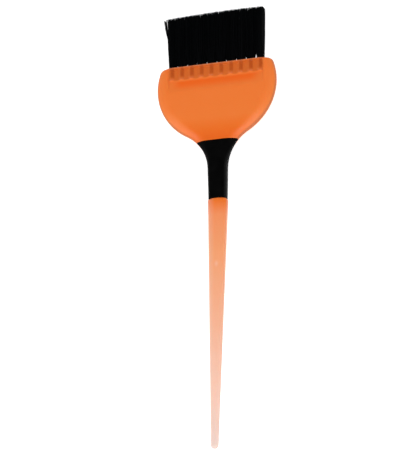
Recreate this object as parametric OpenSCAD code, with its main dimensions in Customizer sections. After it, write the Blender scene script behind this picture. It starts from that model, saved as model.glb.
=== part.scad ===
// Tint brush for hair colour: one translucent moulded handle (paddle, neck and tail), an
// overmoulded soft grip round the neck, and ten stapled tufts of bristle in blind sockets.
//
// Y runs along the brush towards the bristle tips, X is crosswise and Z is the normal of the
// paddle's face. Inside the modules Y = 0 is the centre of the round paddle and Z = 0 is its
// middle plane. place() moves that to the finished frame, which has its origin under the centre
// of the bounding box, with the back of the grip at Z = 0.

/* [Paddle] */
// Radius of the round paddle
head_r = 30.25; // [28:0.25:34]
// Distance from the paddle's centre to its straight bristle edge
head_cut = 11.1; // [10:0.1:13]
// Thickness of the paddle between its two flat faces
head_t = 5.8; // [5.6:0.1:7]
// Thickness left at the very edge of the paddle
edge_t = 1.8; // [1.6:0.1:3]
// Width of the crowned rim round the flat face
rim_w = 6; // [4:0.5:7]
// Radius of the two corners beside the bristle edge
corner_r = 2.6; // [2:0.1:4]

/* [Neck and grip] */
// Radius of the concave flare from the paddle into the neck
flare_r = 22.1; // [18:0.1:26]
// Width of the grip where the flare ends
grip_w = 9.6; // [9:0.1:12]
// Width of the grip at its rear end
grip_rear_w = 8.9; // [8.3:0.1:10]
// Thickness of the grip
grip_t = 7.6; // [7.2:0.2:10]
// Distance from the paddle's centre to the front border of the grip
grip_front = 30.1; // [29.5:0.1:33]
// Distance from the paddle's centre to the rear border of the grip
grip_rear = 61.1; // [57:0.1:68]
// Wall of the soft sleeve
sleeve_wall = 1.3; // [1:0.1:1.5]

/* [Tail] */
// Width of the tail behind the grip
tail_w = 9.6; // [9.2:0.1:11]
// Thickness of the tail behind the grip
tail_t = 7; // [6.6:0.1:9]
// Width of the tail just before its rounded tip
tip_w = 3.6; // [2.6:0.1:4.4]
// Thickness of the tail just before its rounded tip
tip_t = 2.8; // [2.2:0.1:3.2]
// Distance from the paddle's centre to the tip of the tail
tail_end = 190.6; // [180:0.2:200]
// Height by which the tail's tip is cranked up above the paddle's middle plane
tail_lift = 11; // [6:0.5:14]

/* [Tufts] */
// Spacing of the tufts along the bristle edge
tuft_pitch = 5; // [4.9:0.05:5]
// Radius of a tuft's socket
socket_r = 1.85; // [1.6:0.05:1.9]
// Depth of a tuft's socket
socket_l = 6.4; // [6:0.2:9]
// Free length of the bristles in front of the paddle
bristle_l = 28; // [20:0.1:32]
// Radius of a tuft's spread at its cut tips
spread_r = 2.4; // [2.1:0.05:2.4]

/* [Hidden] */
tufts = 10;
// Points across each side of a crowned rim, and facets of the turned shapes
rim_steps = 4;
fine = 48;
// Running gap in front of a socket's mouth
clear = 0.05;

// Staple: a flat strip pressed across the socket's floor
staple_l = 4.2;
staple_h = 1.6;
staple_t = 0.35;
staple_floor = 0.6;

// Dished band with a barrel over each socket: a lip at the mouths, a level floor, then a slope
// back up to the flat face
band_lip = 0.9;
band_floor_l = 6.4;
band_slope_l = 6.3;
band_depth = 0.9;
band_half_w = 24;
barrel_r = 2.5;
barrel_l = 5.2;

// Rounding of the paddle's edge at the socket mouths
mouth_round = 0.3;

// Crowned sides of the grip and the tail, and the thickness at their edges
neck_rim = 1.8;
neck_edge_t = 4;
tail_rim_share = 0.42;
tail_edge_share = 0.5;

// Centre of the right-hand corner arc, the direction from the paddle's centre through it, in
// which the two arcs meet, and how far along that is
corner_y = head_cut - corner_r;
corner_x = sqrt(pow(head_r - corner_r, 2) - pow(corner_y, 2));
corner_a = atan2(corner_y, corner_x);
corner_from = head_r * sin(corner_a);
corner_end_a = asin(1 - mouth_round / corner_r);

// Centre of the right-hand flare arc, and the same for where it meets the paddle
flare_x = grip_w / 2 + flare_r;
flare_y = -sqrt(pow(head_r + flare_r, 2) - pow(flare_x, 2));
flare_a = asin(-flare_y / (head_r + flare_r));
flare_from = -head_r * sin(flare_a);
border_a = asin((-grip_front - flare_y) / flare_r);

// Stretch over which the flat face narrows from the paddle's into the neck's
face_from = -20;
face_w = sqrt(pow(head_r - rim_w, 2) - pow(face_from, 2));
face_slope = -face_from / face_w;

// The bend of the cranked tail: level before bend_a, straight after bend_b
bend_a = -50;
bend_b = -70;
bend_slope = tail_lift / (tail_end + (bend_a + bend_b) / 2);

// Length of the rounded tip, and the last angle on its curve
tip_l = tip_w / 2;
tip_end_a = 80;

// Where the design frame goes in the finished frame, and the axis that the bristles bend about
origin_y = (tail_end - head_cut - bristle_l) / 2;
origin_z = grip_t / 2;
hinge_y = head_cut + socket_r - clear;
foot_r = socket_r - 2 * clear;

plastic = [0.93, 0.47, 0.20];
soft_black = [0.05, 0.05, 0.05];
nylon_black = [0.03, 0.03, 0.04];
steel = [0.72, 0.70, 0.66];

function numbered(name, i) = str(name, i < 9 ? "_0" : "_", i + 1);

// ---------- outline, thickness and section of the handle, all as functions of y ----------

function mix(a, b, t) = a + (b - a) * t;
function ease(t) = t * t * (3 - 2 * t);
function share(y, a, b) = max(0, min(1, (y - a) / (b - a)));

// Half width of the outline of paddle, flare and grip
function outline(y) =
    y > corner_from ? corner_x + sqrt(max(0, pow(corner_r, 2) - pow(y - corner_y, 2))) :
    y > flare_from ? sqrt(pow(head_r, 2) - y * y) :
    y > flare_y ? flare_x - sqrt(pow(flare_r, 2) - pow(y - flare_y, 2)) :
    mix(grip_w, grip_rear_w, share(y, flare_y, -grip_rear)) / 2;

// Half thickness of the flat, and at the edge: flat paddle, swelling neck, then straight grip
function swell(y) = ease(share(y, flare_from, flare_y));
function half_t(y) = mix(head_t, grip_t, swell(y)) / 2;
function half_edge(y) = mix(edge_t, neck_edge_t, swell(y)) / 2;

// Half width of the flat face, a smooth curve from the paddle's into the neck's
function face(y) =
    y > face_from ? sqrt(pow(head_r - rim_w, 2) - y * y) :
    y > flare_y ? face_blend(share(y, flare_y, face_from), face_from - flare_y) :
    outline(y) - neck_rim;
function face_blend(t, span) =
    mix(grip_w / 2 - neck_rim, face_w, ease(t)) + t * t * (t - 1) * span * face_slope;

// Half width and half thickness of the tail, and how far the brush's middle is cranked up
function tail_half_w(y) = mix(tail_w, tip_w, share(y, -grip_rear, -tail_end)) / 2;
function tail_half_t(y) = mix(tail_t, tip_t, share(y, -grip_rear, -tail_end)) / 2;
function lift(y) =
    y > bend_a ? 0 :
    y > bend_b ? bend_slope * pow(bend_a - y, 2) / (2 * (bend_a - bend_b)) :
    bend_slope * ((bend_a + bend_b) / 2 - y);

// One closed section in the plane y: w half width, f half width of the flat, e half thickness
// at the edge and t half thickness of the flat
function crown(s, e, t) = mix(e, t, 1 - pow(1 - s, 2));
function section(y, w, f, e, t) = let (
    side = [for (k = [0:rim_steps]) let (s = k / rim_steps) [mix(w, f, s), crown(s, e, t)]],
    top = concat(side, [for (k = [rim_steps:-1:0]) [-side[k].x, side[k].y]]),
    loop = concat(top, [for (k = [len(top) - 1:-1:0]) [top[k].x, -top[k].y]])
) [for (p = loop) [p.x, y, p.y + lift(y)]];

// Section of paddle, flare and grip, brought in all round by wall for the neck's core
function head_section(y, wall = 0) = section(
    y, outline(y) - wall, face(y) - wall * 0.6, half_edge(y) - wall * 0.4, half_t(y) - wall
);
function mouth_section() = section(
    head_cut, outline(head_cut - mouth_round) - mouth_round, face(head_cut),
    edge_t / 2 - mouth_round / 2, head_t / 2 - mouth_round
);
function tail_section(y, k = 1) = let (w = tail_half_w(y) * k, t = tail_half_t(y) * k) section(
    y, w, w * (1 - tail_rim_share * 2), t * tail_edge_share, t
);

// Stations along the brush: n even steps from a to b, or even angles on an arc about y = c
function stations(a, b, n) = [for (i = [0:n]) mix(a, b, i / n)];
function arc_stations(c, r, a, b, n) = [for (i = [0:n]) c + r * sin(mix(a, b, i / n))];

paddle_stations = concat(
    arc_stations(corner_y, corner_r, corner_end_a, corner_a + 12, 4),
    arc_stations(0, head_r, corner_a, -flare_a, 20),
    arc_stations(flare_y, flare_r, mix(flare_a, border_a, 0.5), border_a, 1)
);
grip_stations = concat(
    arc_stations(flare_y, flare_r, border_a, 0, 6),
    [mix(flare_y, bend_a, 0.5)],
    stations(bend_a, -grip_rear, 4)
);
tail_stations = concat(
    stations(-grip_rear, bend_b, 3),
    stations(bend_b - 15, -tail_end + tip_l, 7)
);

// ---------- solids from rows of sections ----------

// Two triangles between points a, b of one section and c, d of the next
function quad(a, b, c, d) = [[a, c, d], [a, d, b]];

// Skin from the first section to the last, closed by flat ends
module loft(rings) {
    n = len(rings[0]);
    last = len(rings) - 1;
    polyhedron(
        points = [for (r = rings) each r],
        faces = concat(
            [[for (i = [0:n - 1]) i]],
            [for (j = [0:last - 1], i = [0:n - 1]) let (k = (i + 1) % n)
                each quad(j * n + i, j * n + k, (j + 1) * n + i, (j + 1) * n + k)],
            [[for (i = [n - 1:-1:0]) last * n + i]]
        )
    );
}

// Skin along the outer sections and back along the inner ones
module sleeve(outer, inner) {
    n = len(outer[0]);
    rings = concat(outer, [for (j = [len(inner) - 1:-1:0]) inner[j]]);
    m = len(rings);
    polyhedron(
        points = [for (r = rings) each r],
        faces = [for (j = [0:m - 1], i = [0:n - 1]) let (k = (i + 1) % n, q = (j + 1) % m)
            each quad(j * n + i, j * n + k, q * n + i, q * n + k)]
    );
}

module place() translate([0, origin_y, origin_z]) children();
// Turned shapes drawn upwards point towards the bristle tips
module along() rotate([-90, 0, 0]) children();
// The middle of the mouth of socket i
module at_socket(i) translate([(i - (tufts - 1) / 2) * tuft_pitch, head_cut, 0]) children();

// ---------- the handle ----------

module handle_blank() loft(concat(
    [mouth_section()],
    [for (y = paddle_stations) head_section(y)],
    [for (y = grip_stations) head_section(y, sleeve_wall)],
    [for (y = tail_stations) tail_section(y)],
    [for (a = [30, 60, tip_end_a])
        tail_section(-tail_end + tip_l * (1 - sin(a) / sin(tip_end_a)), cos(a))]
));

// Dish across one face, with the sockets' round-ended barrels left standing in it
module band(side) difference() {
    mouth = head_cut - band_lip;
    floor_z = head_t / 2 - band_depth;
    above = head_t / 2 + band_depth;
    translate([-band_half_w, 0, 0]) rotate([90, 0, 90]) linear_extrude(2 * band_half_w) polygon([
        [mouth, side * floor_z], [mouth, side * above],
        [mouth - band_floor_l - band_slope_l, side * above],
        [mouth - band_floor_l - band_slope_l, side * head_t / 2],
        [mouth - band_floor_l, side * floor_z]
    ]);
    for (i = [0:tufts - 1]) at_socket(i) translate([0, -barrel_l, 0]) {
        along() cylinder(r = barrel_r, h = barrel_l, $fn = fine);
        sphere(r = barrel_r, $fn = fine);
    }
}

module handle_body() color(plastic) place() difference() {
    handle_blank();
    for (side = [-1, 1]) band(side);
    for (i = [0:tufts - 1]) at_socket(i) {
        translate([0, -socket_l, 0]) along() cylinder(r = socket_r, h = socket_l + 1, $fn = fine);
        staple_strip();
    }
}

// ---------- the soft grip ----------

module soft_grip() color(soft_black) place() sleeve(
    [for (y = grip_stations) head_section(y)],
    [for (y = grip_stations) head_section(y, sleeve_wall)]
);

// ---------- tufts and their staples ----------

module staple_strip() translate([-staple_l / 2, staple_floor - socket_l, -staple_t / 2])
    cube([staple_l, staple_h, staple_t]);

module staple(i) color(steel) place() at_socket(i) staple_strip();

// The part of a tuft inside its socket, folded round the staple
module tuft_root(i) color(nylon_black) place() at_socket(i) difference() {
    translate([0, -socket_l, 0]) along() cylinder(r = socket_r, h = socket_l, $fn = fine);
    staple_strip();
}

// The free part of a tuft: a round foot that rolls in front of the socket's mouth, and the
// spreading bundle up to its cut tips
module tuft(i) color(nylon_black) place() at_socket(i) translate([0, hinge_y - head_cut, 0]) {
    sphere(r = foot_r, $fn = fine);
    along() cylinder(r1 = foot_r, r2 = spread_r, h = head_cut + bristle_l - hinge_y, $fn = fine);
}

handle_body();
soft_grip();
for (i = [0:tufts - 1]) {
    tuft(i);
    tuft_root(i);
    staple(i);
}
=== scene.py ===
"""Looks of the tint brush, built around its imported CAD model.

Lengths are in millimetres in the design frame, which has Y = 0 at the centre of the round paddle,
Z = 0 in its middle plane and Y running towards the bristle tips. to_frame() takes them to metres
in the row frame.
"""

import math

import bmesh
import bpy
import numpy as np
from mathutils import Matrix, Vector
from mathutils.geometry import tessellate_polygon


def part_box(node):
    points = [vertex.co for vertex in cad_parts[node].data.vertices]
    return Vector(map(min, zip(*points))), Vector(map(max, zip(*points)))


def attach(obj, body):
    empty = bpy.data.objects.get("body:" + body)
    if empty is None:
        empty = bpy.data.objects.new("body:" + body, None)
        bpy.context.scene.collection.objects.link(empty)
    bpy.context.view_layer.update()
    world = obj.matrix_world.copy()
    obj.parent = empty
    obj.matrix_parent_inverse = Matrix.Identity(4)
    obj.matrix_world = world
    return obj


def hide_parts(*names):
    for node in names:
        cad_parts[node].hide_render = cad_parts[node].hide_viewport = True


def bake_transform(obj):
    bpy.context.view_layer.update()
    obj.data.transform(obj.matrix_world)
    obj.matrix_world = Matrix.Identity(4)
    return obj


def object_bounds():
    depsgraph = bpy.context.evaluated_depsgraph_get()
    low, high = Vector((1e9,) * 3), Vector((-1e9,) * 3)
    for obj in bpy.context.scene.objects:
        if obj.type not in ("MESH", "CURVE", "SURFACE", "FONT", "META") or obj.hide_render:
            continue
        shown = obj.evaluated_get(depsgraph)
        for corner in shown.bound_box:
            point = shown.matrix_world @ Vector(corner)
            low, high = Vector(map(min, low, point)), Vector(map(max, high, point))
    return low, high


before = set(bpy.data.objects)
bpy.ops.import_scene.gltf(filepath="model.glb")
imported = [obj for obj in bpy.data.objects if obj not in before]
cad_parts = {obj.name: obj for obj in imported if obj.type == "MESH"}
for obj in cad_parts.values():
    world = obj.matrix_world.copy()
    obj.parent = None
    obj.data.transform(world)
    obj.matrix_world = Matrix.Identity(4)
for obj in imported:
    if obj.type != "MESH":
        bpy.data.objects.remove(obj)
cad_low, cad_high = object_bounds()

# ---------- driving dimensions: first what the frame shows ----------

MM = 0.001
PADDLE_TO_MOUTH = 11.1

TUFT_NUMBERS = sorted(n.removeprefix("tuft_root_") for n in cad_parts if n.startswith("tuft_root_"))
handle_low, handle_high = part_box("handle_body")
grip_low, grip_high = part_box("soft_grip")
root_low, root_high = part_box("tuft_root_" + TUFT_NUMBERS[0])
bristle_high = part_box("tuft_" + TUFT_NUMBERS[0])[1]
ORIGIN = Vector((0, handle_high.y - PADDLE_TO_MOUTH * MM, (root_low.z + root_high.z) / 2))


def design_y(metres):
    return (metres - ORIGIN.y) / MM


MOUTH = design_y(handle_high.y)
TAIL_TIP = design_y(handle_low.y)
GRIP_FRONT = design_y(grip_high.y)
GRIP_REAR = design_y(grip_low.y)
BRISTLE_TIP = design_y(bristle_high.y)
SOCKET_FLOOR = design_y(root_low.y)
HEAD_R = handle_high.x / MM
GRIP_HALF_T = (ORIGIN.z - grip_low.z) / MM
SOCKET_R = (root_high.x - root_low.x) / MM / 2
TUFT_X = [sum(v.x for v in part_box("tuft_root_" + n)) / MM / 2 for n in TUFT_NUMBERS]
PITCH = TUFT_X[1] - TUFT_X[0]
LAST_TUFT = len(TUFT_X)

# ---------- and then what only the CAD source knows ----------

# Paddle
HEAD_HALF_T = 2.9
HEAD_EDGE = 0.9
RIM_W = 6
CORNER_R = 2.6
MOUTH_FILLET = 0.35
# Neck and grip
FLARE_R = 22.1
GRIP_HALF_W = 4.8
GRIP_REAR_HALF_W = 4.45
NECK_RIM = 1.8
NECK_EDGE = 2
SLEEVE_WALL = 1.3
GRIP_FILLET = 0.18
BORDER_FILLET = 0.1
CORE_GAP = 0.02
# What an inset skin gives up of its flat and of its edge, as shares of the inset
INSET_ON_FLAT = 0.6
INSET_ON_EDGE = 0.4
# Tail
TAIL_HALF_W = 4.8
TAIL_HALF_T = 3.5
TIP_HALF_W = 1.8
TIP_HALF_T = 1.4
TIP_L = 1.8
TAIL_LIFT = 11
TAIL_FLAT_SHARE = 0.16
TAIL_EDGE_SHARE = 0.5
SHOULDER_FILLET = 0.5
BEND_FROM = -50
BEND_TO = -70
FACE_FROM = -20
# Dished band with its barrels
BAND_LIP = 0.9
BAND_FLOOR_L = 6.4
BAND_SLOPE_L = 6.3
BAND_DEPTH = 0.9
BAND_HALF_W = 24
BARREL_R = 2.5
BARREL_L = 5.2
# Roundings that moulding leaves: the outer edges, the band's walls, and the barrels' feet wherever
# the band is sunk deeper than BLEND_FROM_DEPTH
EDGE_FILLET = 0.7
EDGE_FILLET_SHARE = 0.8
WALL_RUN = 0.5
FOOT_BLEND = 0.3
BLEND_FROM_DEPTH = 0.02
# Oval gate mark on the tail's upper side
GATE_Y = -96.2
GATE_X = 0.3
GATE_HALF_L = 2.4
GATE_HALF_W = 1.5
GATE_DEPTH = 0.12

CORNER_Y = MOUTH - CORNER_R
CORNER_X = math.sqrt((HEAD_R - CORNER_R) ** 2 - CORNER_Y**2)
CORNER_FROM = HEAD_R * math.sin(math.atan2(CORNER_Y, CORNER_X))
FLARE_X = GRIP_HALF_W + FLARE_R
FLARE_Y = -math.sqrt((HEAD_R + FLARE_R) ** 2 - FLARE_X**2)
FLARE_FROM = HEAD_R * FLARE_Y / (HEAD_R + FLARE_R)
FACE_W = math.sqrt((HEAD_R - RIM_W) ** 2 - FACE_FROM**2)
FACE_SLOPE = -FACE_FROM / FACE_W
BEND_SLOPE = TAIL_LIFT / ((BEND_FROM + BEND_TO) / 2 - TAIL_TIP)
BAND_FOOT = MOUTH - BAND_LIP - BAND_FLOOR_L
BAND_END = BAND_FOOT - BAND_SLOPE_L


def to_frame(points):
    return np.asarray(points, float) * MM + np.array(ORIGIN)


# ---------- outline, thickness and relief, as in the CAD source ----------


def mix(a, b, t):
    return a + (b - a) * t


def ease(t):
    return t * t * (3 - 2 * t)


def share(v, a, b):
    """How far v is on its way from a to b, from 0 to 1."""
    return np.clip((v - a) / (b - a), 0, 1)


def rise(v, a, b):
    """share() with a smooth start and end."""
    return ease(share(v, a, b))


def bump(distance):
    """1 at distance 0, falling smoothly to 0 at distance 1."""
    return ease(1 - np.clip(distance, 0, 1))


def outline(y):
    """Half width of the paddle, flare and grip."""
    if y > CORNER_FROM:
        return CORNER_X + math.sqrt(max(0, CORNER_R**2 - (y - CORNER_Y) ** 2))
    if y > FLARE_FROM:
        return math.sqrt(HEAD_R**2 - y * y)
    if y > FLARE_Y:
        return FLARE_X - math.sqrt(FLARE_R**2 - (y - FLARE_Y) ** 2)
    return mix(GRIP_HALF_W, GRIP_REAR_HALF_W, share(y, FLARE_Y, GRIP_REAR))


def face(y):
    """Half width of the flat between the crowned rims."""
    if y > FACE_FROM:
        return math.sqrt((HEAD_R - RIM_W) ** 2 - y * y)
    if y > FLARE_Y:
        t = share(y, FLARE_Y, FACE_FROM)
        bend = t * t * (t - 1) * (FACE_FROM - FLARE_Y) * FACE_SLOPE
        return mix(GRIP_HALF_W - NECK_RIM, FACE_W, ease(t)) + bend
    return outline(y) - NECK_RIM


def lift(y):
    """How far the cranked tail rises above the paddle's middle plane."""
    if y > BEND_FROM:
        return 0
    if y > BEND_TO:
        return BEND_SLOPE * (BEND_FROM - y) ** 2 / (2 * (BEND_FROM - BEND_TO))
    return BEND_SLOPE * ((BEND_FROM + BEND_TO) / 2 - y)


def head_section(y, inset=0.0):
    """Half width, flat half width, edge and flat half thickness of the paddle, neck or grip."""
    swell = rise(y, FLARE_FROM, FLARE_Y)
    return (
        outline(y) - inset,
        face(y) - inset * INSET_ON_FLAT,
        mix(HEAD_EDGE, NECK_EDGE, swell) - inset * INSET_ON_EDGE,
        mix(HEAD_HALF_T, GRIP_HALF_T, swell) - inset,
    )


def tail_section(y, inset=0.0, scale=1.0):
    """The same four sizes for the tail."""
    w = mix(TAIL_HALF_W, TIP_HALF_W, share(y, GRIP_REAR, TAIL_TIP)) * scale - inset
    t = mix(TAIL_HALF_T, TIP_HALF_T, share(y, GRIP_REAR, TAIL_TIP)) * scale - inset
    return w, w * TAIL_FLAT_SHARE, t * TAIL_EDGE_SHARE, t


def from_tuft(x):
    """Distance across to the middle of the nearest tuft."""
    nearest = np.clip(np.round((x - TUFT_X[0]) / PITCH), 0, LAST_TUFT - 1)
    return x - (TUFT_X[0] + nearest * PITCH)


def in_band(x):
    """1 across the dished band and 0 past its two end walls."""
    return 1 - rise(np.abs(x), BAND_HALF_W - WALL_RUN, BAND_HALF_W + WALL_RUN)


def band_relief(x, y, z):
    """Upper face z sunk into the dished band, with the round-ended barrels left standing."""
    front_wall = MOUTH - BAND_LIP
    depth = BAND_DEPTH * rise(y, front_wall + WALL_RUN / 2, front_wall - WALL_RUN / 2)
    depth = depth * share(y, BAND_END, BAND_FOOT) * in_band(x)
    floor = np.minimum(z, HEAD_HALF_T - depth)
    beyond = max(0.0, MOUTH - BARREL_L - y)
    barrel = np.sqrt(np.maximum(0, BARREL_R**2 - from_tuft(x) ** 2 - beyond**2))
    over = barrel - floor
    blended = floor + 0.5 * (over + np.sqrt(over**2 + FOOT_BLEND**2))
    return np.minimum(z, np.where(depth > BLEND_FROM_DEPTH, blended, floor))


# ---------- rings of points round the brush, and the skins between them ----------

WALL_STEPS = 2
FILLET_STEPS = 6
RIM_STEPS = 8
FACE_STEPS = 144


def ring(y, section, relief=None):
    """Closed ring in the plane y, from the right edge over the top and back underneath, and
    for each of its points the distance from the edge as a share of the rim."""
    w, f, edge, top = section
    rim = w - f
    r = min(EDGE_FILLET, EDGE_FILLET_SHARE * edge)
    turn = np.linspace(0, math.pi / 2, FILLET_STEPS + 1)
    on_wall = np.zeros(WALL_STEPS)
    d = np.concatenate([on_wall, r * (1 - np.cos(turn)), np.linspace(r, rim, RIM_STEPS + 1)[1:]])
    round_edge = np.concatenate([on_wall, np.sin(turn), np.ones(RIM_STEPS)])
    up_wall = np.concatenate([np.linspace(0, 1, WALL_STEPS + 1)[:-1], np.ones(len(d) - WALL_STEPS)])
    crown = mix(edge, top, 1 - (1 - d / rim) ** 2)
    side = (edge - r) * up_wall + (r + crown - edge) * round_edge
    flat = np.linspace(f, -f, FACE_STEPS + 1)[1:-1]
    x = np.concatenate([w - d, flat, d[::-1] - w])
    z = np.concatenate([side, np.full(len(flat), top), side[::-1]])
    d = w - np.abs(x)
    upper, lower = (z, z) if relief is None else relief(x, y, z)
    loop_x = np.concatenate([x, x[-2:0:-1]])
    loop_z = np.concatenate([upper, -lower[-2:0:-1]]) + lift(y)
    inside = np.clip(np.concatenate([d, d[-2:0:-1]]) / rim, 0, 1)
    return np.column_stack([loop_x, np.full(len(loop_x), y), loop_z]), inside


def skin(count, size, start=0, close=False):
    """Quads between `count` rings of `size` points, numbered from `start`."""
    i = np.arange(size)
    k = (i + 1) % size
    quads = []
    for j in range(count if close else count - 1):
        a, b = start + j * size, start + (j + 1) % count * size
        quads.append(np.column_stack([a + i, a + k, b + k, b + i]))
    return np.concatenate(quads).tolist()


def new_piece(name, points, faces, attributes=None, sharp=40):
    """Mesh object in the row frame, with outward normals and smooth shading below `sharp` degrees."""
    mesh = bpy.data.meshes.new(name)
    mesh.from_pydata(to_frame(points).tolist(), [], faces)
    for key, values in (attributes or {}).items():
        layer = mesh.attributes.new(key, "FLOAT", "POINT")
        layer.data.foreach_set("value", np.asarray(values, np.float32))
    work = bmesh.new()
    work.from_mesh(mesh)
    bmesh.ops.recalc_face_normals(work, faces=work.faces)
    work.to_mesh(mesh)
    work.free()
    mesh.shade_smooth()
    mesh.set_sharp_from_angle(angle=math.radians(sharp))
    piece = bpy.data.objects.new(name, mesh)
    bpy.context.scene.collection.objects.link(piece)
    return piece


def even(start, end, step):
    """Stations from start to end, both included, at most step apart."""
    return list(np.linspace(start, end, max(2, math.ceil(abs(end - start) / step) + 1)))


def fillet(y, radius, direction, steps=4):
    """(y, inset) pairs round a convex edge at y whose body lies towards direction."""
    turns = np.linspace(0, math.pi / 2, steps + 1)[::-1]
    return [(y + direction * radius * (1 - math.sin(a)), radius * (1 - math.cos(a))) for a in turns]


# ---------- the moulded handle ----------

# Widest steps between its rings: along the band, the paddle, the flare, the core under the grip,
# the tail's front, the gate mark and the rest of the tail
BAND_STEP = 0.19
PADDLE_STEP = 0.8
FLARE_STEP = 0.4
CORE_STEP = 2
TAIL_FRONT_STEP = 1.5
GATE_STEP = 0.2
TAIL_STEP = 1.8
TIP_STEPS = 10
TIP_LAST_TURN = math.radians(84)
SOCKET_SIDES = 48


def gate_distance(x, y):
    """0 at the middle of the gate mark and 1 at its rim."""
    return np.hypot((x - GATE_X) / GATE_HALF_W, (y - GATE_Y) / GATE_HALF_L)


def handle_relief(x, y, z):
    """Upper and lower height of the handle's skin where its plain section has z."""
    upper = lower = z
    if y > BAND_END - WALL_RUN:
        upper = lower = band_relief(x, y, z)
    return upper - GATE_DEPTH * bump(gate_distance(x, y)), lower


def handle_stations():
    """(y, section) from the mouths back to the tail's rounded tip."""
    stations = []

    def add(section, pairs):
        stations.extend((y, section(y, inset)) for y, inset in pairs)

    def plain(places, inset=0.0):
        return [(y, inset) for y in places]

    add(head_section, fillet(MOUTH, MOUTH_FILLET, -1))
    add(head_section, plain(even(MOUTH - MOUTH_FILLET, BAND_END - WALL_RUN, BAND_STEP)[1:]))
    add(head_section, plain(even(BAND_END - WALL_RUN, FACE_FROM, PADDLE_STEP)[1:]))
    add(head_section, plain(even(FACE_FROM, GRIP_FRONT + BORDER_FILLET, FLARE_STEP)[1:-1]))
    add(head_section, fillet(GRIP_FRONT, BORDER_FILLET, 1)[::-1])
    add(head_section, plain(even(GRIP_FRONT, GRIP_REAR, CORE_STEP), SLEEVE_WALL + CORE_GAP))
    add(tail_section, fillet(GRIP_REAR, SHOULDER_FILLET, -1))
    add(tail_section, plain(even(GRIP_REAR - SHOULDER_FILLET, GATE_Y + GATE_HALF_L, TAIL_FRONT_STEP)[1:]))
    add(tail_section, plain(even(GATE_Y + GATE_HALF_L, GATE_Y - GATE_HALF_L, GATE_STEP)[1:]))
    add(tail_section, plain(even(GATE_Y - GATE_HALF_L, TAIL_TIP + TIP_L, TAIL_STEP)[1:]))
    for a in np.linspace(0, TIP_LAST_TURN, TIP_STEPS + 1)[1:]:
        y = TAIL_TIP + TIP_L * (1 - math.sin(a) / math.sin(TIP_LAST_TURN))
        stations.append((y, tail_section(y, scale=math.cos(a))))
    return stations


# Colour marks on the handle, painted highlights and painted shade among them. In the band, Y is
# measured from the barrels' feet and X from a tuft's middle. First the dark bars over the roots,
# which show through a little to one side
BAR_SHIFT = 0.45
BAR_CORE = 0.5
BAR_HALF_W = 1.25
BAR_FROM = 0.7
BAR_FULL = 2.9
# Painted highlight line along the barrels' feet, with its scallops under the tufts
FOOT_LINE_Y = -0.3
FOOT_HIGHLIGHT_HALF_L = 0.8
FOOT_HIGHLIGHT_MIN = 0.6
SCALLOP_X = -0.2
SCALLOP_HALF_W = 2.2
SCALLOP_H = 0.45
# Darker floor in front of the barrels' feet, and painted highlight lines just past both ends of the band
FLOOR_TONE_FROM = 0.2
FLOOR_TONE_FULL = 1.1
BESIDE_OFF = 1.1
BESIDE_HALF_W = 0.9
BESIDE_L = 2
BESIDE_SHARE = 0.8
# Deep orange behind the band
BELOW_FULL = -1.6
BELOW_FADE_FROM = -0.8
BELOW_FADE_TO = 0.3
BELOW_SIDE_FADE = 7
# Painted highlight on the rounded edge over the mouths, and how near the mouths' plane a point counts as
# on their flat face
LIP_BACK = 0.3
LIP_HALF_L = 0.7
MOUTH_FACE_L = 0.01
# Painted shade along the outer edge: its strength, and how far in it reaches as a share of the rim
EDGE_ON_TAIL = 0.3
EDGE_ON_PADDLE = 0.58
EDGE_FULL = 0.03
EDGE_GONE = 0.15


def handle_masks(points, inside):
    """Where the colour changes: over the tufts' dark roots, on the band's floor and behind it, at the
    thin rim, and where light and shade are painted: a highlight along the barrels' feet and past the
    band's ends, shade along the outer edge, a highlight on the gate mark, light on the tail's left side
    and a highlight on the rounded edge over the mouths."""
    x, y, z = points.T
    off = from_tuft(x)
    across = in_band(x)
    bar = 1 - rise(np.abs(off - BAR_SHIFT), BAR_CORE, BAR_HALF_W)
    scallop = bump(np.abs(off - SCALLOP_X) / SCALLOP_HALF_W)
    foot_line_y = BAND_FOOT + FOOT_LINE_Y + SCALLOP_H * scallop
    # painted highlight line along the barrels' feet
    foot_highlight = across * bump(np.abs(y - foot_line_y) / FOOT_HIGHLIGHT_HALF_L) * mix(FOOT_HIGHLIGHT_MIN, 1, scallop)
    # painted highlight lines just past both ends of the band, added to the line along the feet
    beside_highlight = bump(np.abs(np.abs(x - BAR_SHIFT) - BAND_HALF_W - BESIDE_OFF) / BESIDE_HALF_W)
    beside_highlight = beside_highlight * rise(y, BAND_FOOT, BAND_FOOT + BESIDE_L) * (y < MOUTH - MOUTH_FACE_L)
    below = rise(y, BAND_END, BAND_FOOT + BELOW_FULL)
    below = below * (1 - share(y, BAND_FOOT + BELOW_FADE_FROM, BAND_FOOT + BELOW_FADE_TO))
    on_paddle = rise(y, GRIP_REAR, GRIP_FRONT)
    middle_z = np.array([lift(v) for v in y])
    return {
        "over_root": bar * across * rise(y, BAND_FOOT + BAR_FROM, BAND_FOOT + BAR_FULL),
        "band": across * rise(y, foot_line_y + FLOOR_TONE_FROM, foot_line_y + FLOOR_TONE_FULL),
        "foot_highlight": np.maximum(foot_highlight, BESIDE_SHARE * beside_highlight),
        "below": below * (1 - rise(np.abs(x), BAND_HALF_W - BELOW_SIDE_FADE, BAND_HALF_W)),
        "thin": on_paddle * (1 - inside) ** 2,
        # painted shade along the outer edge
        "edge": mix(EDGE_ON_TAIL, EDGE_ON_PADDLE, on_paddle) * (1 - rise(inside, EDGE_FULL, EDGE_GONE)),
        # the gate mark's dimple is modelled; its pale colour is a painted highlight
        "gate": bump(gate_distance(x, y)) * (z > middle_z),
        # painted light on the tail's left side
        "tail_left_light": (1 - on_paddle) * (1 - inside) * (x < 0),
        # painted highlight on the rounded edge over the mouths
        "lip": bump(np.abs(y - MOUTH + LIP_BACK) / LIP_HALF_L) * across,
    }


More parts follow.
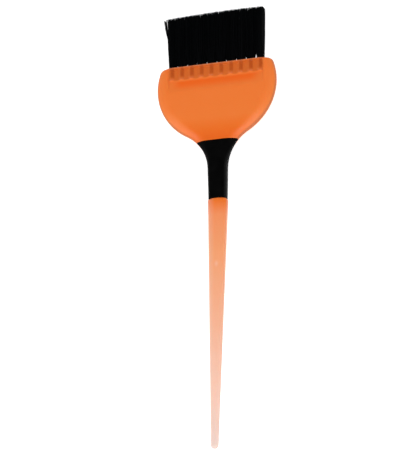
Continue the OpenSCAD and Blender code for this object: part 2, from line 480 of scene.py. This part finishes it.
def moulded_handle():
    stations = handle_stations()
    rings, insides = zip(*(ring(y, section, handle_relief) for y, section in stations))
    size = len(rings[0])
    points = list(np.concatenate(rings))
    inside = list(np.concatenate(insides))
    faces = skin(len(rings), size)

    # Rounded tip closed by a fan
    tip = len(points)
    points.append(np.array([0, TAIL_TIP, lift(TAIL_TIP)]))
    inside.append(1)
    last = (len(rings) - 1) * size
    faces += [[last + i, last + (i + 1) % size, tip] for i in range(size)]

    # Flat mouth face with the sockets sunk into it
    turn = np.linspace(0, 2 * math.pi, SOCKET_SIDES, endpoint=False)
    loops = [list(range(size))]
    for x in TUFT_X:
        for y in (MOUTH, SOCKET_FLOOR):
            start = len(points)
            points += [np.array([x + SOCKET_R * math.cos(a), y, SOCKET_R * math.sin(a)]) for a in turn]
            inside += [1] * len(turn)
            if y == MOUTH:
                loops.append(list(range(start, start + len(turn))))
        faces += skin(2, len(turn), loops[-1][0])
        faces.append(list(range(start, start + len(turn))))
    flat = [i for loop in loops for i in loop]
    outlines = [[Vector(points[i]) for i in loop] for loop in loops]
    faces += [[flat[i] for i in triangle] for triangle in tessellate_polygon(outlines)]

    points = np.array(points)
    return new_piece("moulded_handle", points, faces, handle_masks(points, np.array(inside)))


# ---------- the overmoulded grip ----------

SLEEVE_STEP = 0.45


def rubber_sleeve():
    outer = fillet(GRIP_FRONT, GRIP_FILLET, -1)
    outer += [(y, 0) for y in even(GRIP_FRONT - GRIP_FILLET, GRIP_REAR + GRIP_FILLET, SLEEVE_STEP)[1:-1]]
    outer += fillet(GRIP_REAR, GRIP_FILLET, 1)[::-1]
    inner = [(y, SLEEVE_WALL) for y in even(GRIP_REAR, GRIP_FRONT, CORE_STEP)]
    rings = [ring(y, head_section(y, inset))[0] for y, inset in outer + inner]
    return new_piece("grip_sleeve", np.concatenate(rings), skin(len(rings), len(rings[0]), close=True))


# ---------- tufts of separate filaments ----------

FILAMENTS = 270
FILAMENT_R = 0.115
FILAMENT_TIP_R = 0.1
FILAMENT_SIDES = 4
FILAMENT_RINGS = 12
RINGS_TO_ROOT = 1.6
ROOT_SINK = 0.25
GOLDEN_TURN = math.pi * (3 - math.sqrt(5))
# A tuft is a round bundle at its mouth and opens into a block with squarish corners: its half width
# and half depth, the share of the length over which it opens, and the power that slows its opening,
# which is higher at the wide gap between the last two tufts
BUNDLE_R = 1.75
SPREAD_X = 3.3
SPREAD_Z = 2.5
SPREAD_OVER = 0.39
SPREAD_CURVE = 0.72
WIDE_GAP_CURVE = 1.1
SQUARENESS = 8
# Half width on the free side of the first tuft, -1, and of the last, 1: above the mouth and at the tips
SIDE_LOW = {-1: 1.6, 1: 1.45}
SIDE_HIGH = {-1: 2.5, 1: 2.05}
# Disorder: of each filament's angle in radians, of its reach and tip as shares, and of its middle
ANGLE_JITTER = 0.25
REACH_JITTER = 0.04
TIP_JITTER = 0.05
MIDDLE_JITTER = 0.14
# The cut: raggedness, small waves, and a slight bow with its highest point off the middle
RAGGED = 0.17
WAVE = 0.12
WAVE_RATE = 7
WAVE_SHIFT = 1.7
CUT_RISE = 0.1
CUT_BOW = 0.0009
CUT_MIDDLE = 9
# Filaments of the first tuft that stand off together to its side near their tips
STRAYS = 30
STRAY_FROM = 0.58
STRAY_CURVE = 0.85
STRAY_X = -3.8
STRAY_FAN = 0.19
STRAY_GATHER = 0.5


def filament_places(dice):
    """Places of one tuft's filaments in a unit disc, as at the mouth, and in a squarish unit block,
    as at the tips."""
    k = np.arange(FILAMENTS)
    radius = np.sqrt((k + 0.5) / FILAMENTS)
    angle = k * GOLDEN_TURN + dice.uniform(-ANGLE_JITTER, ANGLE_JITTER, FILAMENTS)
    disc = np.column_stack([np.cos(angle), np.sin(angle)]) * radius[:, None]
    squared = (np.cos(angle) ** SQUARENESS + np.sin(angle) ** SQUARENESS)[:, None] ** (-1 / SQUARENESS)
    reach = 1 + np.abs(dice.normal(0, REACH_JITTER, (FILAMENTS, 1)))
    return disc, disc * squared * reach + dice.normal(0, TIP_JITTER, disc.shape)


def open_half_size(tips, outer, t):
    """Half width and half depth of the open tuft, for each filament and ring."""
    side = np.full((FILAMENTS, FILAMENT_RINGS), SPREAD_X)
    if outer:
        flank = mix(SIDE_LOW[outer], SIDE_HIGH[outer], t[..., 0] ** 2)
        side = np.where(tips[:, :1] * outer > 0, flank, side)
    return np.stack([side, np.full(side.shape, SPREAD_Z)], axis=2)


def swing_strays(across, tips, t, dice):
    """Bends some of the first tuft's outermost filaments away from it, in place."""
    stray = np.argsort(tips[:, 0])[: 2 * STRAYS : 2]
    swing = share(t[..., 0], STRAY_FROM, 1) ** STRAY_CURVE
    aim = STRAY_X + dice.normal(0, STRAY_FAN, (STRAYS, 1))
    across[stray, :, 0] = mix(across[stray, :, 0], aim, swing)
    across[stray, :, 1] *= 1 - STRAY_GATHER * swing


def filament_paths(number, x, dice):
    """Root-to-tip points of every filament in one tuft, as filaments by rings by 3."""
    outer = {1: -1, LAST_TUFT: 1}.get(number, 0)
    gap_side = {LAST_TUFT - 1: 1, LAST_TUFT: -1}.get(number, 0)
    t = np.linspace(0, 1, FILAMENT_RINGS)[None, :, None] ** RINGS_TO_ROOT
    disc, tips = filament_places(dice)
    curve = np.where(tips[:, 0] * gap_side > 0, WIDE_GAP_CURVE, SPREAD_CURVE)[:, None, None]
    opening = share(t, 0, SPREAD_OVER) ** curve
    across = mix(disc[:, None, :] * BUNDLE_R, tips[:, None, :] * open_half_size(tips, outer, t), opening)
    across = across + dice.normal(0, MIDDLE_JITTER, (FILAMENTS, 1, 2)) * np.sin(math.pi * t)
    cut = BRISTLE_TIP + CUT_RISE - CUT_BOW * (x + across[:, -1, 0] - CUT_MIDDLE) ** 2
    cut = cut - np.abs(dice.normal(0, RAGGED, FILAMENTS))
    cut = cut - WAVE * np.abs(np.sin(WAVE_RATE * tips[:, 0] + WAVE_SHIFT * number))
    along = MOUTH - ROOT_SINK + (cut - MOUTH + ROOT_SINK)[:, None, None] * t
    if outer < 0:
        swing_strays(across, tips, t, dice)
    return np.concatenate([across[..., :1] + x, along, across[..., 1:]], axis=2)


def filament_tuft(name, number, x, dice):
    paths = filament_paths(number, x, dice)
    turn = np.linspace(0, 2 * math.pi, FILAMENT_SIDES, endpoint=False)
    twist = dice.uniform(0, math.pi, (FILAMENTS, 1, 1))
    radius = np.linspace(FILAMENT_R, FILAMENT_TIP_R, FILAMENT_RINGS)[None, :, None]
    loop_x = radius * np.cos(turn + twist)
    loop_z = radius * np.sin(turn + twist)
    loop = np.stack([loop_x, np.zeros(loop_x.shape), loop_z], axis=3)
    points = (paths[:, :, None, :] + loop).reshape(-1, 3)
    size = FILAMENT_RINGS * FILAMENT_SIDES
    faces = []
    for first in range(0, FILAMENTS * size, size):
        faces += skin(FILAMENT_RINGS, FILAMENT_SIDES, first)
        faces.append(list(range(first, first + FILAMENT_SIDES)))
        faces.append(list(range(first + size - FILAMENT_SIDES, first + size)))
    tone = np.repeat(dice.uniform(0, 1, FILAMENTS), size)
    return new_piece(name, points, faces, {"tone": tone}, sharp=80)


# ---------- materials ----------


def linear(red, green, blue):
    """Linear colour from the 0 to 255 values that a colour picker shows."""
    def one(v):
        v /= 255
        return v / 12.92 if v <= 0.04045 else ((v + 0.055) / 1.055) ** 2.4

    return one(red), one(green), one(blue), 1


class Look:
    """A Principled material and short ways to add nodes to it."""

    def __init__(self, name, **settings):
        self.material = bpy.data.materials.new(name)
        self.material.use_nodes = True
        self.tree = self.material.node_tree
        self.shader = self.tree.nodes["Principled BSDF"]
        for socket, value in settings.items():
            self.shader.inputs[socket.replace("_", " ")].default_value = value

    def node(self, kind, *links, **settings):
        made = self.tree.nodes.new("ShaderNode" + kind)
        for key, value in settings.items():
            setattr(made, key, value)
        for socket, value in links:
            self.set(made.inputs[socket], value)
        return made

    def set(self, socket, value):
        if isinstance(value, bpy.types.NodeSocket):
            self.tree.links.new(value, socket)
        else:
            socket.default_value = value

    def attribute(self, name):
        return self.node("Attribute", attribute_name=name).outputs["Fac"]

    def place(self):
        return self.node("TexCoord").outputs["Object"]

    def blend(self, amount, first, second):
        return self.node("Mix", (0, amount), (6, first), (7, second), data_type="RGBA").outputs[2]

    def times(self, value, factor):
        return self.node("Math", (0, value), (1, factor), operation="MULTIPLY").outputs[0]

    def plus(self, first, second):
        return self.node("Math", (0, first), (1, second), operation="ADD").outputs[0]

    def noise(self, scale, detail=3.0, rough=0.5):
        made = self.node("TexNoise", ("Vector", self.place()), ("Scale", scale), ("Detail", detail),
                         ("Roughness", rough))
        return made.outputs["Fac"]

    def span(self, value, low, high, start=0.0, end=1.0):
        made = self.node("MapRange", ("Value", value), ("From Min", low), ("From Max", high),
                         ("To Min", start), ("To Max", end))
        return made.outputs[0]

    def ramp(self, value, stops):
        made = self.node("ValToRGB", ("Fac", value))
        ends = made.color_ramp.elements
        for position, colour in stops[1:-1]:
            ends.new(position).color = colour
        for element, (position, colour) in ((ends[0], stops[0]), (ends[len(ends) - 1], stops[-1])):
            element.position = position
            element.color = colour
        return made.outputs["Color"]

    def bumped(self, height, strength, distance):
        made = self.node("Bump", ("Height", height), ("Strength", strength), ("Distance", distance))
        self.set(self.shader.inputs["Normal"], made.outputs["Normal"])

    def colour(self, value):
        self.set(self.shader.inputs["Base Color"], value)

    def roughness(self, value):
        self.set(self.shader.inputs["Roughness"], value)


# Colours along the handle, each with its place in Y
ALONG = [
    (TAIL_TIP, (238, 214, 204)),
    (-166, (251, 208, 189)),
    (-124, (249, 183, 149)),
    (-90, (248, 165, 115)),
    (-70, (247, 149, 96)),
    (-63, (241, 118, 38)),
    (-29, (238, 102, 14)),
    (-24, (240, 112, 28)),
    (-18, (243, 124, 48)),
    (MOUTH, (243, 122, 47)),
]
MOTTLE = (250, 145, 80)
# What handle_masks() lays over them, in this order: mask, strength and colour
MARKS = [
    ("thin", 0.3, (250, 150, 80)),
    ("below", 0.85, (246, 100, 10)),
    ("band", 0.95, (213, 101, 31)),
    ("over_root", 0.95, (187, 78, 10)),
    # painted highlight along the barrels' feet and just past the band's ends
    ("foot_highlight", 0.8, (250, 119, 46)),
    # painted shade along the outer edge
    ("edge", 1.0, (150, 92, 62)),
    # painted highlight on the gate mark
    ("gate", 0.75, (250, 188, 156)),
    # painted highlight on the rounded edge over the mouths
    ("lip", 0.4, (228, 146, 108)),
    # painted light on the tail's left side
    ("tail_left_light", 0.25, (240, 215, 205)),
]


def orange_plastic():
    """Translucent moulded orange that pales as the tail thins, with the handle's colour marks, painted
    highlights, painted shade and painted light on the tail's left side among them.
    """
    look = Look("orange_plastic", IOR=1.49, Specular_IOR_Level=0.28, Subsurface_Weight=0.12,
                Subsurface_Scale=0.003)
    look.shader.inputs["Subsurface Radius"].default_value = (1.0, 0.4, 0.2)
    y = look.node("SeparateXYZ", ("Vector", look.place())).outputs["Y"]
    along = look.span(y, to_frame([0, TAIL_TIP, 0])[1], to_frame([0, MOUTH, 0])[1])
    stops = [((at - TAIL_TIP) / (MOUTH - TAIL_TIP), linear(*colour)) for at, colour in ALONG]
    mottle = look.span(look.noise(180, 2), 0.3, 0.7, 0.0, 0.05)
    body = look.blend(mottle, look.ramp(along, stops), linear(*MOTTLE))
    for mask, strength, colour in MARKS:
        body = look.blend(look.times(look.attribute(mask), strength), body, linear(*colour))
    look.colour(body)
    look.roughness(look.span(look.noise(90, 4), 0.35, 0.65, 0.285, 0.36))
    waves = look.noise(260, 2)
    grain = look.noise(4200, 1)
    look.bumped(look.plus(waves, look.times(grain, 0.15)), 0.25, 0.0002)
    return look.material


def black_rubber():
    """Matte black grip with the fine spark-eroded grain of its mould."""
    look = Look("black_rubber", Specular_IOR_Level=0.03)
    wear = look.span(look.noise(240, 5, 0.6), 0.35, 0.7)
    look.colour(look.blend(wear, linear(2, 2, 2), linear(5, 5, 5)))
    look.roughness(look.span(wear, 0, 1, 0.42, 0.6))
    grain = look.node("TexVoronoi", ("Vector", look.place()), ("Scale", 3600.0)).outputs["Distance"]
    look.bumped(grain, 0.35, 0.00005)
    return look.material


def black_nylon():
    """Black bristle, each filament a little different in tone."""
    look = Look("black_nylon", Specular_IOR_Level=0.03)
    tone = look.attribute("tone")
    streak = look.noise(700, 2)
    shade = look.plus(tone, look.times(streak, 0.5))
    look.colour(look.blend(look.span(shade, 0.2, 1.3), linear(2, 3, 4), linear(7, 8, 10)))
    look.roughness(look.span(tone, 0, 1, 0.38, 0.55))
    return look.material


def brushed_steel():
    """Cold-drawn flat wire of the staples."""
    look = Look("brushed_steel", Metallic=1.0)
    stretched = look.node("Mapping", ("Vector", look.place()), ("Scale", (250, 6000, 6000))).outputs[0]
    lines = look.node("TexNoise", ("Vector", stretched), ("Scale", 1.0), ("Detail", 3.0)).outputs["Fac"]
    look.colour(look.blend(lines, linear(150, 148, 142), linear(205, 202, 196)))
    look.roughness(look.span(lines, 0.3, 0.7, 0.28, 0.45))
    look.bumped(lines, 0.3, 0.00002)
    return look.material


def studio_floor():
    """Pale sheet that glows a little, so that it renders almost white."""
    look = Look("studio_floor", Roughness=0.9, Specular_IOR_Level=0.1)
    look.colour(look.blend(look.noise(40, 2), linear(242, 242, 242), linear(246, 246, 246)))
    look.shader.inputs["Emission Color"].default_value = (1, 1, 1, 1)
    look.shader.inputs["Emission Strength"].default_value = FLOOR_GLOW
    return look.material


# ---------- assembly ----------

DICE_SEED = 11

plastic = orange_plastic()
rubber = black_rubber()
nylon = black_nylon()
steel = brushed_steel()

handle = moulded_handle()
handle.data.materials.append(plastic)
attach(handle, "handle")
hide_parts("handle_body")

sleeve = rubber_sleeve()
sleeve.data.materials.append(rubber)
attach(sleeve, "handle")
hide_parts("soft_grip")

dice = np.random.default_rng(DICE_SEED)
for number, (suffix, x) in enumerate(zip(TUFT_NUMBERS, TUFT_X), start=1):
    tuft = filament_tuft("bristles_" + suffix, number, x, dice)
    tuft.data.materials.append(nylon)
    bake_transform(tuft)
    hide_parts("tuft_" + suffix)

for name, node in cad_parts.items():
    carried = {"tuft_root": nylon, "staple": steel}.get(name.rsplit("_", 1)[0])
    if carried:
        node.data.materials.clear()
        node.data.materials.append(carried)

# ---------- stage, light and camera ----------

# Side of the floor in metres, and the strength of its glow and of the sky
FLOOR_SIZE = 4.0
FLOOR_GLOW = 0.62
SKY = 0.41
# Camera: the point it looks at, its distance, its angles in degrees and its focal length
TARGET = (-9.17, -74.88, 0.15)
DISTANCE = 1500
LEAN_RIGHT = 15.19
LEAN_BACK = 21.88
ROLL = -0.46
LENS = 244.6


def stage():
    mesh = bpy.data.meshes.new("studio_floor")
    half = FLOOR_SIZE / 2
    corners = [(-half, -half, 0), (half, -half, 0), (half, half, 0), (-half, half, 0)]
    mesh.from_pydata(corners, [], [(0, 1, 2, 3)])
    floor = bpy.data.objects.new("studio_floor", mesh)
    floor.data.materials.append(studio_floor())
    bpy.context.scene.collection.objects.link(floor)


def softbox(name, place, size, power):
    """Square area light at place, in metres, aimed at the middle of the brush."""
    lamp = bpy.data.lights.new(name, "AREA")
    lamp.size = size
    lamp.energy = power
    light = bpy.data.objects.new(name, lamp)
    light.location = place
    aim = (cad_low + cad_high) / 2 - Vector(place)
    light.rotation_euler = aim.to_track_quat("-Z", "Y").to_euler()
    bpy.context.scene.collection.objects.link(light)


def sky():
    world = bpy.data.worlds.new("white_room")
    world.use_nodes = True
    world.node_tree.nodes["Background"].inputs["Color"].default_value = (1, 1, 1, 1)
    world.node_tree.nodes["Background"].inputs["Strength"].default_value = SKY
    bpy.context.scene.world = world


def camera():
    """Camera leaning to the brush's right and back over its tail, at the photograph's angle."""
    az, el, roll = (math.radians(v) for v in (LEAN_RIGHT, LEAN_BACK, ROLL))
    back = Vector((math.sin(az) * math.cos(el), -math.sin(el), math.cos(az) * math.cos(el)))
    ahead = Vector((0, 1, 0))
    up = (ahead - back * ahead.dot(back)).normalized()
    right = up.cross(back)
    rolled_right = right * math.cos(roll) + up * math.sin(roll)
    rolled_up = up * math.cos(roll) - right * math.sin(roll)
    data = bpy.data.cameras.new("camera")
    data.lens = LENS
    data.clip_start = 0.1
    data.clip_end = 20
    made = bpy.data.objects.new("camera", data)
    spot = Vector(to_frame(np.array(TARGET) + DISTANCE * np.array(back)))
    axes = Matrix((rolled_right, rolled_up, back)).transposed().to_4x4()
    made.matrix_world = Matrix.Translation(spot) @ axes
    bpy.context.scene.collection.objects.link(made)
    bpy.context.scene.camera = made


stage()
sky()
softbox("key", (0.32, -0.32, 1.18), 0.5, 4.0)
softbox("side", (0.88, -0.78, 0.86), 0.75, 5.0)
softbox("fill", (-0.8, -0.25, 0.85), 0.7, 4.6)
camera()
bpy.context.scene.view_settings.view_transform = "Standard"
